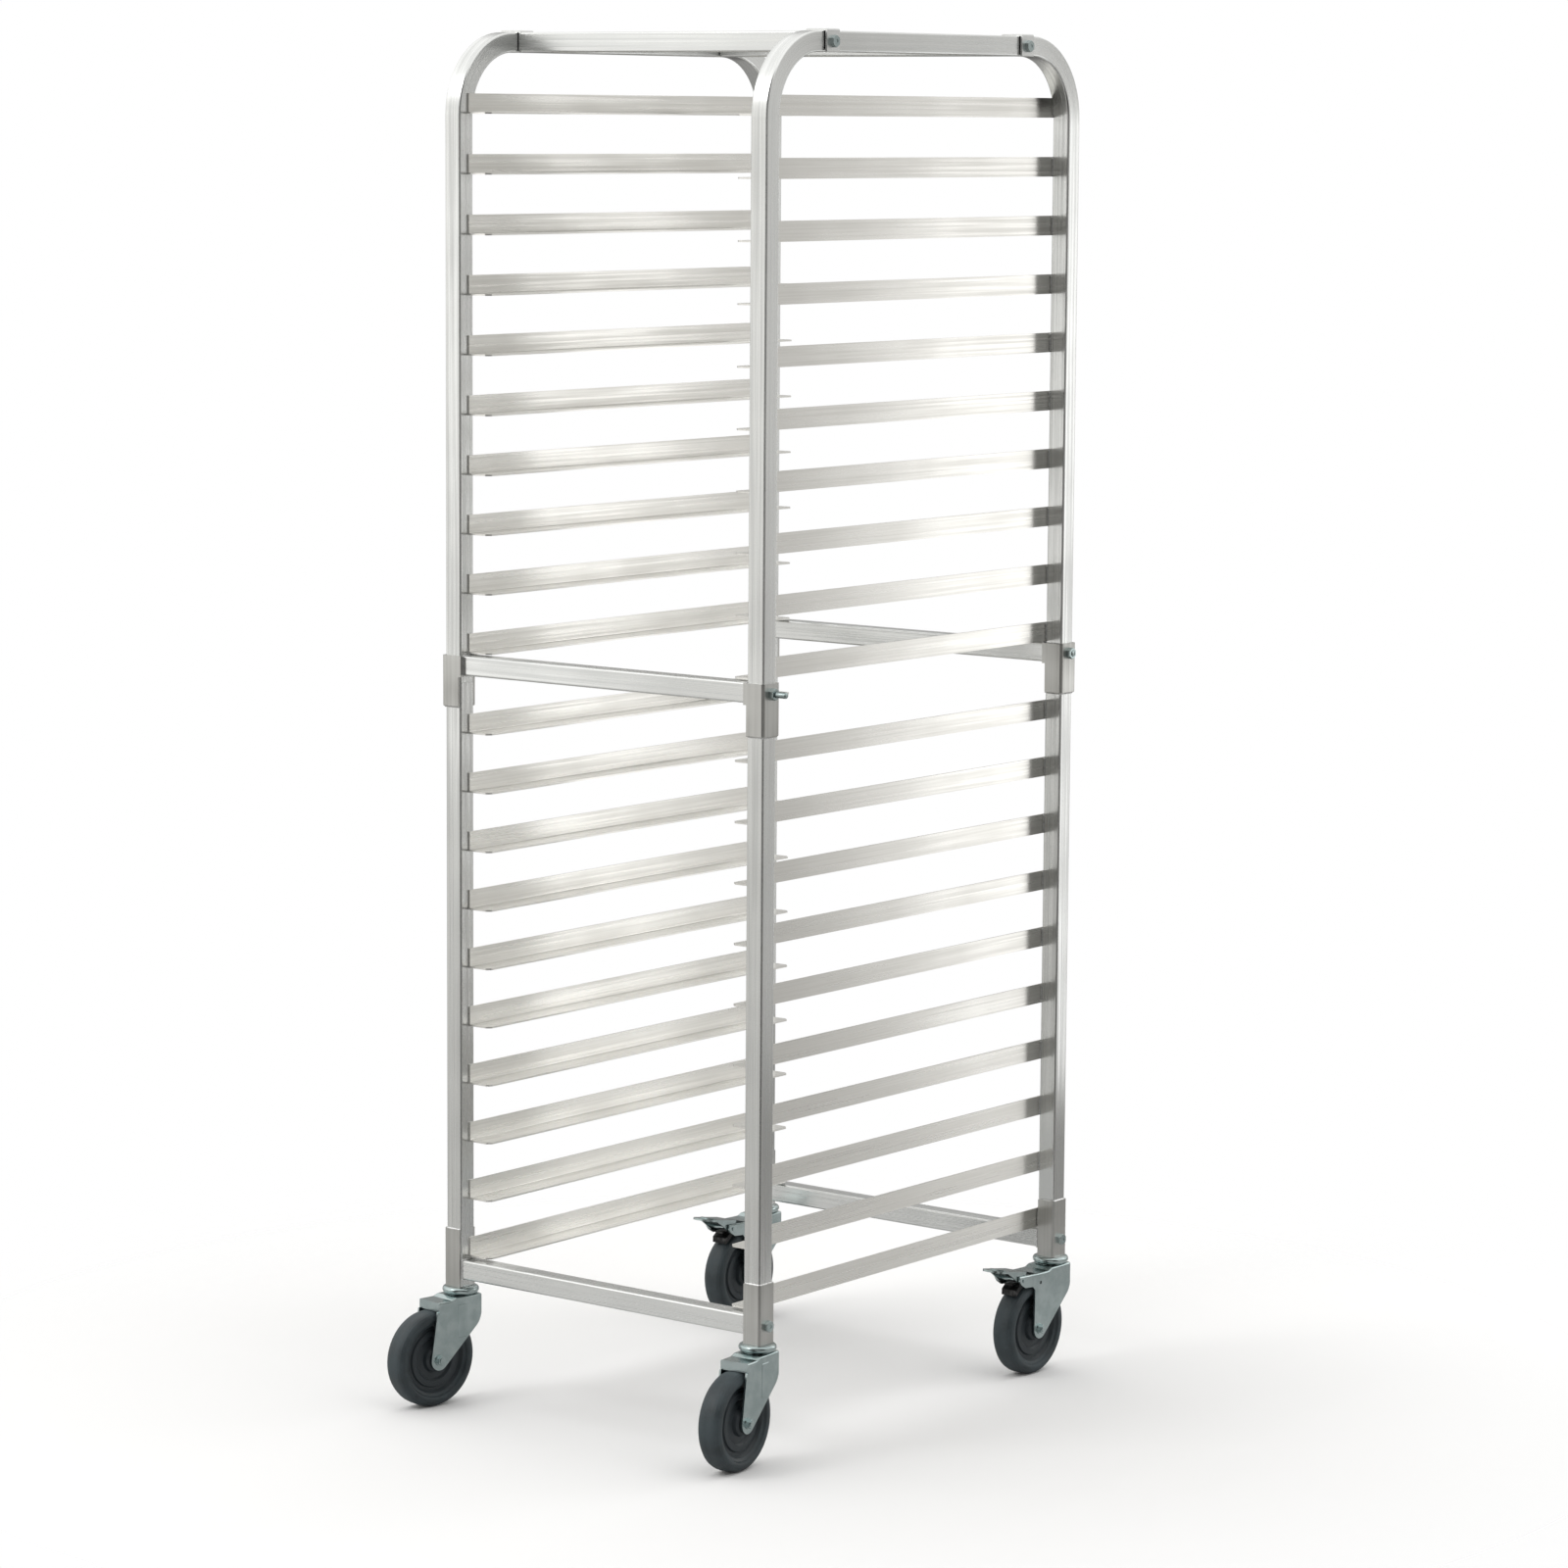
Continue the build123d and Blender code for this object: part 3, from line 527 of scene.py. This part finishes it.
# ---------------------------------------------------------------- sub-assemblies
@dataclass
class SideFrames:
    """The two bent hoops, their lower posts and the sockets between and under them."""

    bend_radius: float = 92 * MM
    tube: float = 25.4 * MM
    bead_radius: float = 1.5 * MM
    bead_pitch: float = 2.2 * MM
    collar_start: float = 2 * MM

    def bend(self) -> BendLine:
        """Read the hoop's line from its CAD box.

        Returns:
            The line's leg, rail and bend radius.
        """
        low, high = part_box("upper_hoop_right")
        half = self.tube / 2
        return BendLine(leg_y=high.y - half, rail_z=high.z - half, radius=self.bend_radius)

    def dress(self, post: bpy.types.Material, hoop: bpy.types.Material,
              socket: bpy.types.Material) -> None:
        """Give the frame its finishes.

        Args:
            post: For the lower posts.
            hoop: For the hoops.
            socket: For the middle and foot sockets.
        """
        for side in SIDES:
            paint(f"upper_hoop_{side}", hoop)
        for end, side in CORNERS:
            paint(f"lower_post_{end}_{side}", post)
        paint("mid_sleeves", socket)
        paint("low_sleeves", socket)

    def welds(self, material: bpy.types.Material) -> None:
        """Lay the beads round the foot sockets' tops and the middle sockets' bottoms.

        Args:
            material: The beads' finish.
        """
        for name, edge in (("low_sleeves", "top"), ("mid_sleeves", "bottom")):
            low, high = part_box(name)
            level = high.z if edge == "top" else low.z
            mesh = bmesh.new()
            for end, side in CORNERS:
                self.collar(mesh, SIDES[side], ENDS[end], level)
            finish_piece(mesh, f"{name}_weld", material, "rack")
            LOG.info("%s_weld laid at %.1f mm", name, level / MM)

    def collar(self, mesh: bmesh.types.BMesh, side: int, end: int, level: float) -> None:
        """Lay one bead round the three outer faces of a post.

        Args:
            mesh: Where the bead goes.
            side: -1 for left, 1 for right.
            end: -1 for front, 1 for rear.
            level: The bead's height.
        """
        low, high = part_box("lower_post_rear_right")
        outer_x, y = side * high.x, end * (low.y + high.y) / 2
        inner_x, half = side * (low.x + self.collar_start), (high.y - low.y) / 2
        corners = [Vector((inner_x, y - half, level)), Vector((outer_x, y - half, level)),
                   Vector((outer_x, y + half, level)), Vector((inner_x, y + half, level))]
        bead(mesh, corners, UP, self.bead_radius, self.bead_pitch)


@dataclass
class CrossBars:
    """The top, middle and low bars that hold the side frames apart."""

    bead_radius: float = 1.4 * MM
    bead_pitch: float = 2.4 * MM

    def dress(self, bar: bpy.types.Material, clip: bpy.types.Material) -> None:
        """Give the bars and the clips their finishes.

        Args:
            bar: For the bars.
            clip: For the saddle clips.
        """
        for end in ENDS:
            for kind in ("top", "mid", "low"):
                paint(f"{kind}_bar_{end}", bar)
        paint("top_clips", clip)

    def welds(self, material: bpy.types.Material) -> None:
        """Lay the beads at both ends of the middle and low bars.

        Args:
            material: The beads' finish.
        """
        mesh = bmesh.new()
        for kind in ("mid", "low"):
            for end in ENDS:
                low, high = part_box(f"{kind}_bar_{end}")
                for x in (low.x, high.x):
                    ring = [Vector((x, low.y, high.z)), Vector((x, high.y, high.z)),
                            Vector((x, high.y, low.z)), Vector((x, low.y, low.z)),
                            Vector((x, low.y, high.z))]
                    bead(mesh, ring, Vector((1, 0, 0)), self.bead_radius, self.bead_pitch)
        finish_piece(mesh, "cross_bar_welds", material, "rack")
        LOG.info("cross_bar_welds laid")


@dataclass
class Slides:
    """Twenty pairs of angle slides and the beads that join them to the posts."""

    count: int = 20
    bead_radius: float = 1.3 * MM
    bead_pitch: float = 2.6 * MM
    corner_x: float = 0.6 * MM
    corner_y: float = 0.1 * MM
    bead_foot: float = 2 * MM
    bead_top: float = 1 * MM

    def dress(self, material: bpy.types.Material) -> None:
        """Give the slides their finish."""
        for number in range(1, self.count + 1):
            paint(f"slides_{number:02d}", material)

    def welds(self, material: bpy.types.Material) -> None:
        """Lay an upright bead where each slide crosses the inner corner of each post.

        Args:
            material: The beads' finish.
        """
        post_low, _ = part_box("lower_post_rear_right")
        for side, sign in SIDES.items():
            mesh = bmesh.new()
            for number in range(1, self.count + 1):
                low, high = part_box(f"slides_{number:02d}")
                for end in ENDS.values():
                    x = sign * (post_low.x + self.corner_x)
                    y = end * (post_low.y - self.corner_y)
                    line = [Vector((x, y, low.z + self.bead_foot)),
                            Vector((x, y, high.z - self.bead_top))]
                    bead(mesh, line, Vector((0, 1, 0)), self.bead_radius, self.bead_pitch)
            finish_piece(mesh, f"slide_welds_{side}", material, "rack")
            LOG.info("slide_welds_%s laid", side)


@dataclass
class Fasteners:
    """The frame's hexagon bolts and nuts, with cut threads on the middle bolts' tails."""

    shank: float = 4 * MM
    pitch: float = 1.25 * MM
    depth: float = 0.55 * MM
    flats: float = 13 * MM
    head: float = 5.3 * MM
    grip: float = 32 * MM
    seat: float = 3.1 * MM
    tip_land: float = 0.6 * MM
    turn_steps: int = 20
    head_draft: float = 0.94

    def threads(self, zinc: bpy.types.Material) -> None:
        """Turn the four middle bolts with ringed threads from the grip to the tip.

        Args:
            zinc: The bolts' finish.
        """
        low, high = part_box("mid_bolts")
        post_low, post_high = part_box("lower_post_rear_right")
        mesh = bmesh.new()
        level = (low.z + high.z) / 2
        inner = post_low.x - self.seat
        for end, side in CORNERS:
            sign = SIDES[side]
            tip = high.x if (end, side) == ("front", "right") else -low.x
            y = ENDS[end] * (post_low.y + post_high.y) / 2
            centre = Vector((sign * inner, y, level))
            self.threaded(mesh, centre, Vector((sign, 0, 0)), tip - inner)
            self.hexagon(mesh, centre, Vector((-sign, 0, 0)))
        piece = finish_piece(mesh, "mid_bolt_threads", zinc, "rack")
        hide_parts("mid_bolts")
        LOG.info("mid_bolt_threads turned")

    def threaded(self, mesh: bmesh.types.BMesh, centre: Vector, axis: Vector,
                 length: float) -> None:
        """Turn one shank with rings for its thread.

        Args:
            mesh: Where the shank goes.
            centre: The middle of the bearing face under the head.
            axis: The direction from the head to the tip.
            length: The shank's length.
        """
        profile = [(0.0, 0.0), (0.0, self.shank), (self.grip, self.shank)]
        along = self.grip
        while along + self.pitch < length - self.tip_land:
            profile += [(along + self.pitch * 0.5, self.shank - self.depth),
                        (along + self.pitch, self.shank)]
            along += self.pitch
        profile += [(length, self.shank - self.depth), (length, 0.0)]
        lathe(mesh, profile, centre, axis, self.turn_steps)

    def hexagon(self, mesh: bmesh.types.BMesh, centre: Vector, axis: Vector) -> None:
        """Add one hexagonal head that bears on a face.

        Args:
            mesh: Where the head goes.
            centre: The middle of the bearing face.
            axis: The direction from the bearing face outwards.
        """
        turn = UP.rotation_difference(axis).to_matrix().to_4x4()
        turn.translation = centre + axis * self.head / 2
        radius = self.flats / math.sqrt(3)
        bmesh.ops.create_cone(mesh, cap_ends=True, segments=6, radius1=radius,
                              radius2=radius * self.head_draft, depth=self.head, matrix=turn)

    def dress(self, zinc: bpy.types.Material) -> None:
        """Give the bolts and nuts their finish."""
        for name in ("top_bolts", "mid_bolts", "mid_nuts", "low_bolts"):
            paint(name, zinc)


@dataclass
class Casters:
    """Four stem casters, of which the rear two carry a pedal brake."""

    braked: tuple[str, ...] = ("rear",)

    def dress(self, zinc: bpy.types.Material, rubber: bpy.types.Material,
              core: bpy.types.Material, black: bpy.types.Material) -> None:
        """Give every caster's nodes their finishes.

        Args:
            zinc: For the stems, forks, axles and pedals.
            rubber: For the tyres.
            core: For the wheel cores.
            black: For the brake shoes.
        """
        paint("caster_stems", zinc)
        for end, side in CORNERS:
            paint(f"caster_fork_{end}_{side}", zinc)
            paint(f"caster_axle_{end}_{side}", zinc)
            paint(f"caster_tyre_{end}_{side}", rubber)
            paint(f"caster_core_{end}_{side}", core)
            if end in self.braked:
                paint(f"brake_pedal_{end}_{side}", zinc)
                paint(f"brake_shoe_{end}_{side}", black)


def paint(node: str, material: bpy.types.Material) -> None:
    """Put one finish on a CAD node.

    Args:
        node: The node's name.
        material: Its finish.
    """
    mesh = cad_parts[node].data
    mesh.materials.clear()
    mesh.materials.append(material)


# ---------------------------------------------------------------- studio
@dataclass(frozen=True)
class Lamp:
    """One rectangular lamp that reflections see and the camera does not."""

    name: str
    place: Direction
    target: Direction
    size: Range
    power: float

    def hang(self) -> None:
        """Add the lamp, pointed at its target."""
        data = bpy.data.lights.new(self.name, "AREA")
        data.shape, data.energy = "RECTANGLE", self.power
        data.size, data.size_y = self.size
        lamp = bpy.data.objects.new(self.name, data)
        place = Vector(self.place)
        lamp.location = place
        lamp.rotation_mode = "QUATERNION"
        lamp.rotation_quaternion = (Vector(self.target) - place).to_track_quat("-Z", "Y")
        lamp.visible_camera = False
        bpy.context.scene.collection.objects.link(lamp)


@dataclass
class Studio:
    """The floor, the light and the camera."""

    eye: Vector = field(default_factory=lambda: Vector((4.00895, -5.11110, 1.65964)))
    yaw: float = 37.8687
    pitch: float = 7.5571
    roll: float = 0.3975
    focal: float = 115.383
    sensor: float = 36.0
    clip: Range = (0.1, 100.0)
    floor_radius: float = 1.5
    floor_flats: int = 96
    fade_start: float = 0.62
    fade_end: float = 0.95
    floor_bounced: Colour = (0.60, 0.60, 0.60)
    floor_seen: Colour = (0.94, 0.94, 0.94)
    ceiling: float = 1.20
    horizon: float = 0.74
    low: float = 0.34
    front_gain: float = 0.20
    rear_loss: float = 0.26
    back_wall: float = 0.35
    dark_wall: float = 0.05
    wall_middle: float = 0.42
    wall_rise: Range = (-0.05, 0.45)
    below: Range = (-0.30, 0.0)
    front_span: Range = (0.45, 0.95)
    rear_span: Range = (-0.95, -0.30)
    back_span: Range = (0.80, 0.97)
    dark_span: Range = (0.52, 0.80)
    middle_span: Range = (0.94, 0.985)
    tint_rise: Range = (-0.2, 0.6)
    tint_share: float = 0.6
    warm: Colour = (1.0, 0.985, 0.955)
    lamps: tuple[Lamp, ...] = (
        Lamp("key", (-1.6, -3.2, 3.6), (0, 0, 0.9), (1.3, 1.3), 26.0),
        Lamp("strip", (0.852, 1.176, 0.92), (0, 0, 0.92), (0.36, 1.5), 1.25),
        Lamp("strip_edge", (0.88, 1.22, 0.92), (0, 0, 0.92), (0.70, 1.5), 0.95),
        Lamp("bounce", (-1.05, -1.35, 1.20), (0, 0, 1.05), (0.36, 1.2), 0.45),
    )

    def camera(self) -> None:
        """Place the camera."""
        yaw, pitch, roll = (math.radians(a) for a in (self.yaw, self.pitch, self.roll))
        ahead = Vector((-math.sin(yaw), math.cos(yaw), 0))
        right = Vector((math.cos(yaw), math.sin(yaw), 0))
        sight = ahead * math.cos(pitch) - UP * math.sin(pitch)
        top = UP * math.cos(pitch) + ahead * math.sin(pitch)
        side = right * math.cos(roll) + top * math.sin(roll)
        crown = top * math.cos(roll) - right * math.sin(roll)
        data = bpy.data.cameras.new("camera")
        data.lens, data.sensor_width = self.focal, self.sensor
        data.clip_start, data.clip_end = self.clip
        camera = bpy.data.objects.new("camera", data)
        placed = Matrix((side, crown, -sight)).transposed().to_4x4()
        placed.translation = self.eye
        camera.matrix_world = placed
        bpy.context.scene.collection.objects.link(camera)
        bpy.context.scene.camera = camera

    def surroundings(self) -> None:
        """Make a soft studio with darker walls in places, all fixed in the room."""
        world = bpy.data.worlds.new("studio")
        world.use_nodes = True
        world.node_tree.nodes.clear()
        graph = Graph(world.node_tree)
        way = graph.node("ShaderNodeTexCoord").outputs["Generated"]
        height = graph.node("ShaderNodeSeparateXYZ", {0: way}).outputs[2]
        yaw = math.radians(self.yaw)
        east, north = math.sin(yaw), math.cos(yaw)
        toward, ahead, behind = (
            graph.vector("DOT_PRODUCT", way, wall).outputs["Value"]
            for wall in ((east, -north, 0.0), (-east, -north, 0.0), (-east, north, 0.0)))
        level = graph.spread(height, self.wall_rise, (self.horizon, self.ceiling))
        under = graph.spread(height, self.below, (self.horizon - self.low, 0.0))
        level = graph.math("SUBTRACT", level, under)
        front = graph.spread(ahead, self.front_span, (0.0, self.front_gain))
        level = graph.math("ADD", level, front)
        for way_to, span, ends in ((ahead, self.rear_span, (1.0 - self.rear_loss, 1.0)),
                                   (behind, self.back_span, (1.0, self.back_wall)),
                                   (toward, self.dark_span, (1.0, self.dark_wall))):
            level = graph.math("MULTIPLY", level, graph.spread(way_to, span, ends))
        middle = graph.spread(toward, self.middle_span, (0.0, self.wall_middle))
        level = graph.math("ADD", level, middle)
        seen = graph.node("ShaderNodeLightPath").outputs["Is Camera Ray"]
        level = graph.math("MULTIPLY_ADD", graph.math("SUBTRACT", 1.0, level), seen, level)
        cool = graph.spread(height, self.tint_rise, (0.0, self.tint_share))
        tint = graph.blend(graph.math("MAXIMUM", cool, seen), self.warm, WHITE)
        back = graph.node("ShaderNodeBackground", {"Color": tint, "Strength": level})
        graph.node("ShaderNodeOutputWorld", {"Surface": back.outputs[0]})
        bpy.context.scene.world = world

    def floor(self) -> None:
        """Lay a pale round floor whose edge fades into the surroundings."""
        mesh = bmesh.new()
        bmesh.ops.create_circle(mesh, cap_ends=True, segments=self.floor_flats,
                                radius=self.floor_radius)
        data = bpy.data.meshes.new("floor")
        mesh.to_mesh(data)
        mesh.free()
        floor = bpy.data.objects.new("floor", data)
        bpy.context.scene.collection.objects.link(floor)
        material = bpy.data.materials.new("pale_floor")
        material.use_nodes = True
        material.node_tree.nodes.clear()
        graph = Graph(material.node_tree)
        place = graph.node("ShaderNodeTexCoord").outputs["Object"]
        reach = graph.vector("LENGTH", place).outputs["Value"]
        seen = graph.node("ShaderNodeLightPath").outputs["Is Camera Ray"]
        tone = graph.blend(seen, self.floor_bounced, self.floor_seen)
        matt = graph.node("ShaderNodeBsdfDiffuse", {"Color": tone})
        clear = graph.node("ShaderNodeBsdfTransparent")
        edge = (self.fade_start, self.floor_radius * self.fade_end)
        fade = graph.spread(reach, edge, WHOLE)
        inputs = {0: fade, 1: matt.outputs[0], 2: clear.outputs[0]}
        mixed = graph.node("ShaderNodeMixShader", inputs)
        graph.node("ShaderNodeOutputMaterial", {"Surface": mixed.outputs[0]})
        data.materials.append(material)

    def light(self) -> None:
        """Hang a soft lamp high to the left and stand a tall strip behind the rack."""
        for lamp in self.lamps:
            lamp.hang()


def main() -> None:
    """Build every sub-assembly, dress it, and set the studio."""
    logging.basicConfig(level=logging.INFO, format="%(message)s")
    bpy.context.scene.view_settings.view_transform = "Standard"
    sides = SideFrames()
    post = DrawnAluminium("post_aluminium").build()
    hoop = DrawnAluminium("hoop_aluminium", run=Run.HOOP, bend=sides.bend()).build()
    socket = DrawnAluminium("socket_aluminium", run=Run.Z, light=(0.60, 0.60, 0.58),
                            dark=(0.44, 0.44, 0.42), roughness=(0.28, 0.42), anisotropy=0.4,
                            mottle=0.6).build()
    bar = DrawnAluminium("bar_aluminium", run=Run.X).build()
    clip = DrawnAluminium("clip_aluminium", run=Run.Y, roughness=(0.26, 0.40),
                          anisotropy=0.3).build()
    # Slides: the drawn lines and the random tone are the metal's own. The base colour, lighter and warmer than
    # the posts' aluminium, is a painted reflection of a warm backdrop.
    angle = DrawnAluminium("slide_aluminium", run=Run.Y, light=(0.84, 0.832, 0.80),
                           dark=(0.71, 0.70, 0.665), roughness=(0.26, 0.36),
                           anisotropy=0.95).build()
    weld = WeldMetal("weld_metal").build()
    zinc = ZincPlate("zinc_plate").build()
    sides.dress(post, hoop, socket)
    sides.welds(weld)
    bars = CrossBars()
    bars.dress(bar, clip)
    bars.welds(weld)
    slides = Slides()
    slides.dress(angle)
    slides.welds(weld)
    fasteners = Fasteners()
    fasteners.dress(zinc)
    fasteners.threads(zinc)
    rubber = MouldedBlack("tyre_rubber").build()
    core = MouldedBlack("core_plastic", light=(0.035, 0.043, 0.050), roughness=(0.36, 0.5),
                        skin=0.15).build()
    Casters().dress(zinc, rubber, core, BlackSteel("black_steel").build())
    studio = Studio()
    studio.camera()
    studio.surroundings()
    studio.floor()
    studio.light()


if __name__ == "__main__":
    main()
